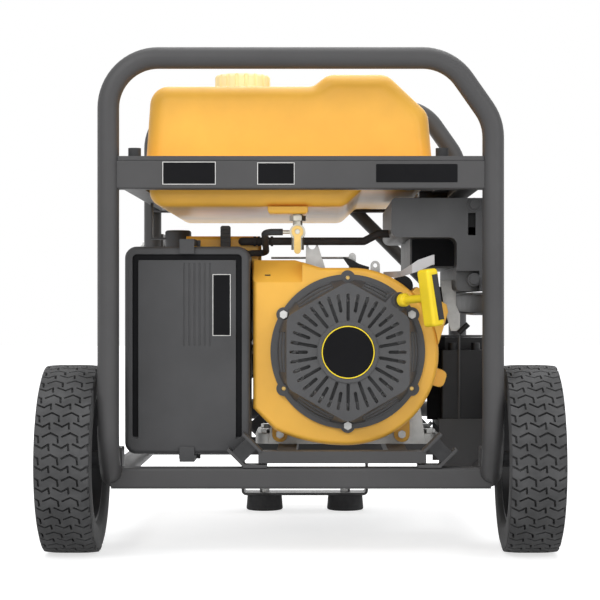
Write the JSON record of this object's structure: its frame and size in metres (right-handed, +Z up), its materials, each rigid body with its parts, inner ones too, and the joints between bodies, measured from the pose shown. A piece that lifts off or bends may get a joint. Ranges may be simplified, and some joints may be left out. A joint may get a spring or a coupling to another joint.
{
  "type": "portable generator",
  "caption": "Open tubular frame generator with recoil-start engine, fuel tank on top, side control panel, wheels in front, rubber feet and a fold-out handle behind.",
  "frame": {"origin": "on the floor, at the middle of the bounding box", "axes": "+Z up, -Y towards the recoil starter, +X towards the control panel"},
  "size_m": [0.692, 0.7534, 0.675],
  "materials": {
    "frame_paint": "semi-gloss dark grey paint",
    "yellow_paint": "gloss yellow enamel",
    "black_paint": "black heat paint",
    "zinc": "zinc plated steel",
    "steel": "machined steel",
    "cast_alloy": "cast aluminium",
    "brass": "brass",
    "tyre_rubber": "black tyre rubber",
    "rubber": "black rubber",
    "dark_plastic": "matte black moulding",
    "grey_plastic": "dark grey moulding",
    "yellow_plastic": "bright yellow moulding",
    "red_plastic": "red moulding",
    "paper": "pleated filter paper"
  },
  "bodies": {
    "frame": {"front_hoop": "frame_paint", "rear_hoop": "frame_paint", "cross_members": "frame_paint", "side_rails": "frame_paint", "axles": "zinc", "foot_bracket": "frame_paint", "engine_cradle": "frame_paint", "rubber_mounts": "rubber", "mount_brackets": "frame_paint", "hex_bolts": "zinc", "engine_block": "cast_alloy", "cylinder_head": "cast_alloy", "valve_cover": "black_paint", "spark_plug": "rubber", "cylinder_shroud": "yellow_paint", "blower_housing": "yellow_paint", "recoil_cover": "grey_plastic", "emblem": "dark_plastic", "alternator_adapter": "cast_alloy", "alternator_stator": "steel", "alternator_end_cover": "cast_alloy", "air_box_cover": "dark_plastic", "air_box_base": "dark_plastic", "air_filter": "paper", "carburettor": "cast_alloy", "fuel_valve": "brass", "hoses": "rubber", "tank_upper": "yellow_paint", "tank_lower": "yellow_paint", "panel_housing": "grey_plastic", "panel_face": "grey_plastic", "panel_fittings": "dark_plastic", "battery": "dark_plastic", "battery_tray": "frame_paint", "starter_motor": "black_paint", "muffler": "black_paint", "engine_stays": "zinc", "canister": "dark_plastic"},
    "left_wheel": {"left_tyre": "tyre_rubber", "left_rim": "black_paint"},
    "right_wheel": {"right_tyre": "tyre_rubber", "right_rim": "black_paint"},
    "crank": {"crankshaft": "steel", "flywheel": "steel", "alternator_rotor": "steel"},
    "reel": {"recoil_reel": "dark_plastic"},
    "pull_handle": {"starter_handle": "yellow_plastic", "starter_rope": "rubber"},
    "rear_handle": {"handle_tube": "frame_paint", "handle_grip": "rubber"},
    "filler_cap": {"fuel_cap": "dark_plastic"},
    "petcock_lever": {"fuel_valve_lever": "brass"},
    "choke": {"choke_lever": "dark_plastic"},
    "top_latch": {"air_latch_top": "dark_plastic"},
    "bottom_latch": {"air_latch_bottom": "dark_plastic"},
    "rocker": {"engine_switch": "red_plastic"},
    "starter_button": {"start_button": "red_plastic"},
    "breaker_toggle": {"main_breaker": "dark_plastic"},
    "reset_a": {"breaker_button_a": "dark_plastic"},
    "reset_b": {"breaker_button_b": "dark_plastic"}
  },
  "joints": [
    {"name": "left_wheel_spin", "type": "hinge", "parent": "frame", "child": "left_wheel", "pos_m": [-0.309, -0.24975, 0.127], "axis": [1, 0, 0], "continuous": true},
    {"name": "right_wheel_spin", "type": "hinge", "parent": "frame", "child": "right_wheel", "pos_m": [0.309, -0.24975, 0.127], "axis": [1, 0, 0], "continuous": true},
    {"name": "crankshaft_spin", "type": "hinge", "parent": "frame", "child": "crank", "pos_m": [0.063, 0, 0.272], "axis": [0, 1, 0], "continuous": true},
    {"name": "starter_pull", "type": "slide", "parent": "frame", "child": "pull_handle", "axis": [0.6148, -0.7869, 0.0523], "range_m": [0, 0.6], "stiffness_N_per_m": 40},
    {"name": "recoil_reel_spin", "type": "hinge", "parent": "frame", "child": "reel", "pos_m": [0.063, 0, 0.272], "axis": [0, 1, 0], "range_deg": [0, 600]},
    {"name": "rear_handle_fold", "type": "hinge", "parent": "frame", "child": "rear_handle", "pos_m": [0, 0.35925, 0.43], "axis": [1, 0, 0], "range_deg": [0, 90]},
    {"name": "fuel_cap_lift", "type": "slide", "parent": "frame", "child": "filler_cap", "axis": [0, 0, 1], "range_m": [0, 0.08]},
    {"name": "fuel_valve_turn", "type": "hinge", "parent": "frame", "child": "petcock_lever", "pos_m": [-0.005, -0.27525, 0.434], "axis": [0, -1, 0], "range_deg": [0, 90]},
    {"name": "choke_swing", "type": "hinge", "parent": "frame", "child": "choke", "pos_m": [-0.107, -0.16925, 0.391], "axis": [0, 1, 0], "range_deg": [-30, 0]},
    {"name": "top_latch_swing", "type": "hinge", "parent": "frame", "child": "top_latch", "pos_m": [-0.1545, -0.20475, 0.4205], "axis": [-1, 0, 0], "range_deg": [0, 45]},
    {"name": "bottom_latch_swing", "type": "hinge", "parent": "frame", "child": "bottom_latch", "pos_m": [-0.1545, -0.20475, 0.1275], "axis": [1, 0, 0], "range_deg": [0, 75]},
    {"name": "engine_switch_rock", "type": "hinge", "parent": "frame", "child": "rocker", "pos_m": [0.242, -0.05575, 0.3965], "axis": [0, -1, 0], "range_deg": [0, 10.6]},
    {"name": "start_button_press", "type": "slide", "parent": "frame", "child": "starter_button", "axis": [-1, 0, 0], "range_m": [0, 0.004], "stiffness_N_per_m": 500},
    {"name": "main_breaker_flip", "type": "hinge", "parent": "frame", "child": "breaker_toggle", "pos_m": [0.239, -0.05575, 0.4505], "axis": [0, 1, 0], "range_deg": [0, 36]},
    {"name": "breaker_a_press", "type": "slide", "parent": "frame", "child": "reset_a", "axis": [-1, 0, 0], "range_m": [0, 0.004], "stiffness_N_per_m": 500},
    {"name": "breaker_b_press", "type": "slide", "parent": "frame", "child": "reset_b", "axis": [-1, 0, 0], "range_m": [0, 0.004], "stiffness_N_per_m": 500}
  ],
  "couplings": [
    {"joint": "recoil_reel_spin", "follows": "starter_pull", "rad_per_m": 16}
  ]
}
